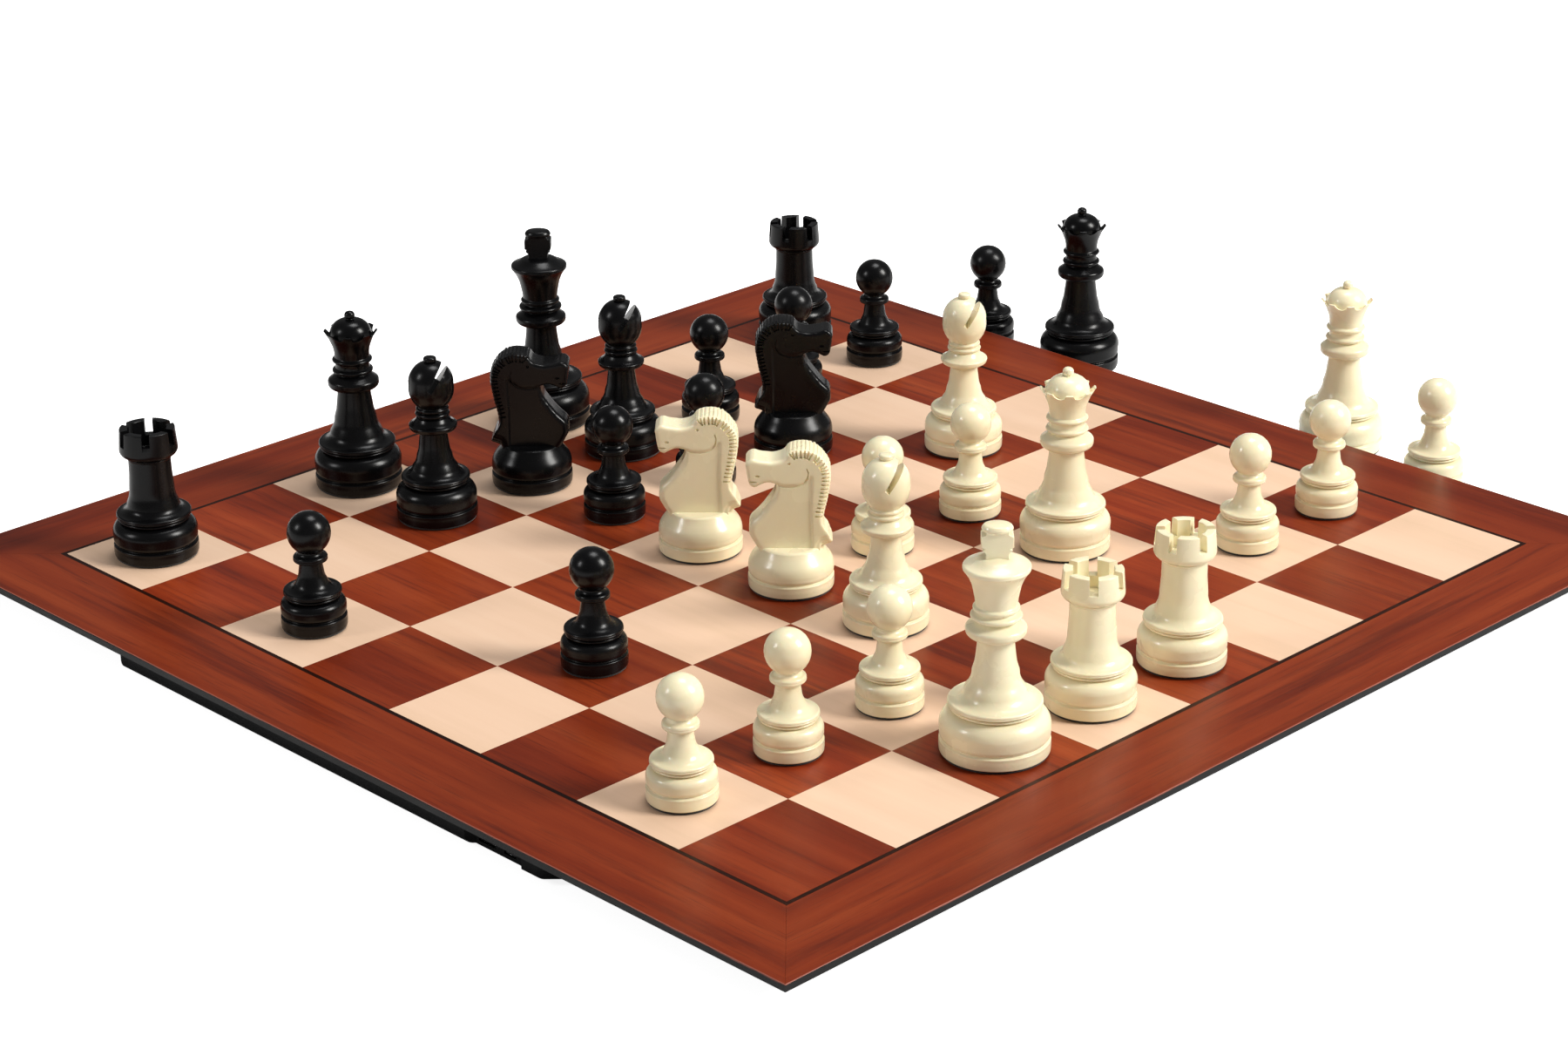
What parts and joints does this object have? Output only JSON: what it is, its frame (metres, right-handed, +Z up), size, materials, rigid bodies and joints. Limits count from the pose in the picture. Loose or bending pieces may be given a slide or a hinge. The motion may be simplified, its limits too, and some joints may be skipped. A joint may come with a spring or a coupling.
{
  "type": "electronic chess computer",
  "caption": "Flat square board of inlaid wood over a thin electronics tray with sockets, set with lift-off chessmen in mid-game.",
  "frame": {"origin": "middle of the board's underside, at the bottom of the centre rubber foot, on the surface it stands on", "axes": "+Z up, +X along the ranks from the a-file to the h-file, +Y along the files from White's side to Black's side"},
  "size_m": [0.5877, 0.54, 0.1117],
  "materials": {
    "chequered_veneer": "satin lacquered maple and rosewood squares",
    "border_veneer": "satin lacquered rosewood, grain along each strip",
    "dark_inlay": "satin lacquered dark line",
    "black_edge": "black lacquered board edge and underside",
    "tray_plastic": "black moulded plastic, fine texture",
    "circuit_board": "green solder mask",
    "chip": "moulded black package",
    "socket_metal": "plated sheet steel",
    "socket_plastic": "moulded black plastic",
    "ribbon": "flat flexible cable",
    "foot_rubber": "moulded rubber",
    "screw_steel": "zinc-plated steel",
    "white_men": "ivory moulded plastic, satin gloss",
    "black_men": "black moulded plastic, semi-gloss",
    "felt": "black felt under each man"
  },
  "bodies": {
    "board": {"accessory_socket": "socket_plastic", "backing_sheet": "black_edge", "border_veneer_back": "border_veneer", "border_veneer_front": "border_veneer", "border_veneer_left": "border_veneer", "border_veneer_right": "border_veneer", "case_tray": "tray_plastic", "coil_board": "circuit_board", "core_panel": "black_edge", "field_veneer": "chequered_veneer", "inlay_line": "dark_inlay", "main_board": "circuit_board", "processor_chip": "chip", "ribbon_cable": "ribbon", "rubber_foot_back_left": "foot_rubber", "rubber_foot_back_right": "foot_rubber", "rubber_foot_centre": "foot_rubber", "rubber_foot_front_left": "foot_rubber", "rubber_foot_front_right": "foot_rubber", "tray_screw_1": "screw_steel", "tray_screw_2": "screw_steel", "tray_screw_3": "screw_steel", "tray_screw_4": "screw_steel", "tray_screw_5": "screw_steel", "tray_screw_6": "screw_steel", "usb_socket": "socket_metal"},
    "black_bishop_c7": {"black_bishop_c7": "black_men"},
    "black_bishop_e7": {"black_bishop_e7": "black_men"},
    "black_king_e8": {"black_king_e8": "black_men"},
    "black_knight_d7": {"black_knight_d7": "black_men"},
    "black_knight_f6": {"black_knight_f6": "black_men"},
    "black_pawn_a6": {"black_pawn_a6": "black_men"},
    "black_pawn_b4": {"black_pawn_b4": "black_men"},
    "black_pawn_beside": {"black_pawn_beside": "black_men"},
    "black_pawn_d6": {"black_pawn_d6": "black_men"},
    "black_pawn_e6": {"black_pawn_e6": "black_men"},
    "black_pawn_f7": {"black_pawn_f7": "black_men"},
    "black_pawn_g7": {"black_pawn_g7": "black_men"},
    "black_pawn_h7": {"black_pawn_h7": "black_men"},
    "black_queen_beside": {"black_queen_beside": "black_men"},
    "black_queen_c8": {"black_queen_c8": "black_men"},
    "black_rook_a8": {"black_rook_a8": "black_men"},
    "black_rook_h8": {"black_rook_h8": "black_men"},
    "white_bishop_d3": {"white_bishop_d3": "white_men"},
    "white_bishop_g5": {"white_bishop_g5": "white_men"},
    "white_king_c1": {"white_king_c1": "white_men"},
    "white_knight_d4": {"white_knight_d4": "white_men"},
    "white_knight_d5": {"white_knight_d5": "white_men"},
    "white_pawn_a2": {"white_pawn_a2": "white_men"},
    "white_pawn_b2": {"white_pawn_b2": "white_men"},
    "white_pawn_beside": {"white_pawn_beside": "white_men"},
    "white_pawn_c2": {"white_pawn_c2": "white_men"},
    "white_pawn_e4": {"white_pawn_e4": "white_men"},
    "white_pawn_f4": {"white_pawn_f4": "white_men"},
    "white_pawn_g2": {"white_pawn_g2": "white_men"},
    "white_pawn_h2": {"white_pawn_h2": "white_men"},
    "white_queen_beside": {"white_queen_beside": "white_men"},
    "white_queen_f3": {"white_queen_f3": "white_men"},
    "white_rook_d1": {"white_rook_d1": "white_men"},
    "white_rook_e1": {"white_rook_e1": "white_men"}
  },
  "joints": [
    {"name": "lift_black_bishop_c7", "type": "slide", "parent": "board", "child": "black_bishop_c7", "axis": [0, 0, 1], "range_m": [0, 0.12]},
    {"name": "lift_black_bishop_e7", "type": "slide", "parent": "board", "child": "black_bishop_e7", "axis": [0, 0, 1], "range_m": [0, 0.12]},
    {"name": "lift_black_king_e8", "type": "slide", "parent": "board", "child": "black_king_e8", "axis": [0, 0, 1], "range_m": [0, 0.12]},
    {"name": "lift_black_knight_d7", "type": "slide", "parent": "board", "child": "black_knight_d7", "axis": [0, 0, 1], "range_m": [0, 0.12]},
    {"name": "lift_black_knight_f6", "type": "slide", "parent": "board", "child": "black_knight_f6", "axis": [0, 0, 1], "range_m": [0, 0.12]},
    {"name": "lift_black_pawn_a6", "type": "slide", "parent": "board", "child": "black_pawn_a6", "axis": [0, 0, 1], "range_m": [0, 0.12]},
    {"name": "lift_black_pawn_b4", "type": "slide", "parent": "board", "child": "black_pawn_b4", "axis": [0, 0, 1], "range_m": [0, 0.12]},
    {"name": "lift_black_pawn_beside", "type": "slide", "parent": "board", "child": "black_pawn_beside", "axis": [0, 0, 1], "range_m": [0, 0.12]},
    {"name": "lift_black_pawn_d6", "type": "slide", "parent": "board", "child": "black_pawn_d6", "axis": [0, 0, 1], "range_m": [0, 0.12]},
    {"name": "lift_black_pawn_e6", "type": "slide", "parent": "board", "child": "black_pawn_e6", "axis": [0, 0, 1], "range_m": [0, 0.12]},
    {"name": "lift_black_pawn_f7", "type": "slide", "parent": "board", "child": "black_pawn_f7", "axis": [0, 0, 1], "range_m": [0, 0.12]},
    {"name": "lift_black_pawn_g7", "type": "slide", "parent": "board", "child": "black_pawn_g7", "axis": [0, 0, 1], "range_m": [0, 0.12]},
    {"name": "lift_black_pawn_h7", "type": "slide", "parent": "board", "child": "black_pawn_h7", "axis": [0, 0, 1], "range_m": [0, 0.12]},
    {"name": "lift_black_queen_beside", "type": "slide", "parent": "board", "child": "black_queen_beside", "axis": [0, 0, 1], "range_m": [0, 0.12]},
    {"name": "lift_black_queen_c8", "type": "slide", "parent": "board", "child": "black_queen_c8", "axis": [0, 0, 1], "range_m": [0, 0.12]},
    {"name": "lift_black_rook_a8", "type": "slide", "parent": "board", "child": "black_rook_a8", "axis": [0, 0, 1], "range_m": [0, 0.12]},
    {"name": "lift_black_rook_h8", "type": "slide", "parent": "board", "child": "black_rook_h8", "axis": [0, 0, 1], "range_m": [0, 0.12]},
    {"name": "lift_white_bishop_d3", "type": "slide", "parent": "board", "child": "white_bishop_d3", "axis": [0, 0, 1], "range_m": [0, 0.12]},
    {"name": "lift_white_bishop_g5", "type": "slide", "parent": "board", "child": "white_bishop_g5", "axis": [0, 0, 1], "range_m": [0, 0.12]},
    {"name": "lift_white_king_c1", "type": "slide", "parent": "board", "child": "white_king_c1", "axis": [0, 0, 1], "range_m": [0, 0.12]},
    {"name": "lift_white_knight_d4", "type": "slide", "parent": "board", "child": "white_knight_d4", "axis": [0, 0, 1], "range_m": [0, 0.12]},
    {"name": "lift_white_knight_d5", "type": "slide", "parent": "board", "child": "white_knight_d5", "axis": [0, 0, 1], "range_m": [0, 0.12]},
    {"name": "lift_white_pawn_a2", "type": "slide", "parent": "board", "child": "white_pawn_a2", "axis": [0, 0, 1], "range_m": [0, 0.12]},
    {"name": "lift_white_pawn_b2", "type": "slide", "parent": "board", "child": "white_pawn_b2", "axis": [0, 0, 1], "range_m": [0, 0.12]},
    {"name": "lift_white_pawn_beside", "type": "slide", "parent": "board", "child": "white_pawn_beside", "axis": [0, 0, 1], "range_m": [0, 0.12]},
    {"name": "lift_white_pawn_c2", "type": "slide", "parent": "board", "child": "white_pawn_c2", "axis": [0, 0, 1], "range_m": [0, 0.12]},
    {"name": "lift_white_pawn_e4", "type": "slide", "parent": "board", "child": "white_pawn_e4", "axis": [0, 0, 1], "range_m": [0, 0.12]},
    {"name": "lift_white_pawn_f4", "type": "slide", "parent": "board", "child": "white_pawn_f4", "axis": [0, 0, 1], "range_m": [0, 0.12]},
    {"name": "lift_white_pawn_g2", "type": "slide", "parent": "board", "child": "white_pawn_g2", "axis": [0, 0, 1], "range_m": [0, 0.12]},
    {"name": "lift_white_pawn_h2", "type": "slide", "parent": "board", "child": "white_pawn_h2", "axis": [0, 0, 1], "range_m": [0, 0.12]},
    {"name": "lift_white_queen_beside", "type": "slide", "parent": "board", "child": "white_queen_beside", "axis": [0, 0, 1], "range_m": [0, 0.12]},
    {"name": "lift_white_queen_f3", "type": "slide", "parent": "board", "child": "white_queen_f3", "axis": [0, 0, 1], "range_m": [0, 0.12]},
    {"name": "lift_white_rook_d1", "type": "slide", "parent": "board", "child": "white_rook_d1", "axis": [0, 0, 1], "range_m": [0, 0.12]},
    {"name": "lift_white_rook_e1", "type": "slide", "parent": "board", "child": "white_rook_e1", "axis": [0, 0, 1], "range_m": [0, 0.12]}
  ]
}
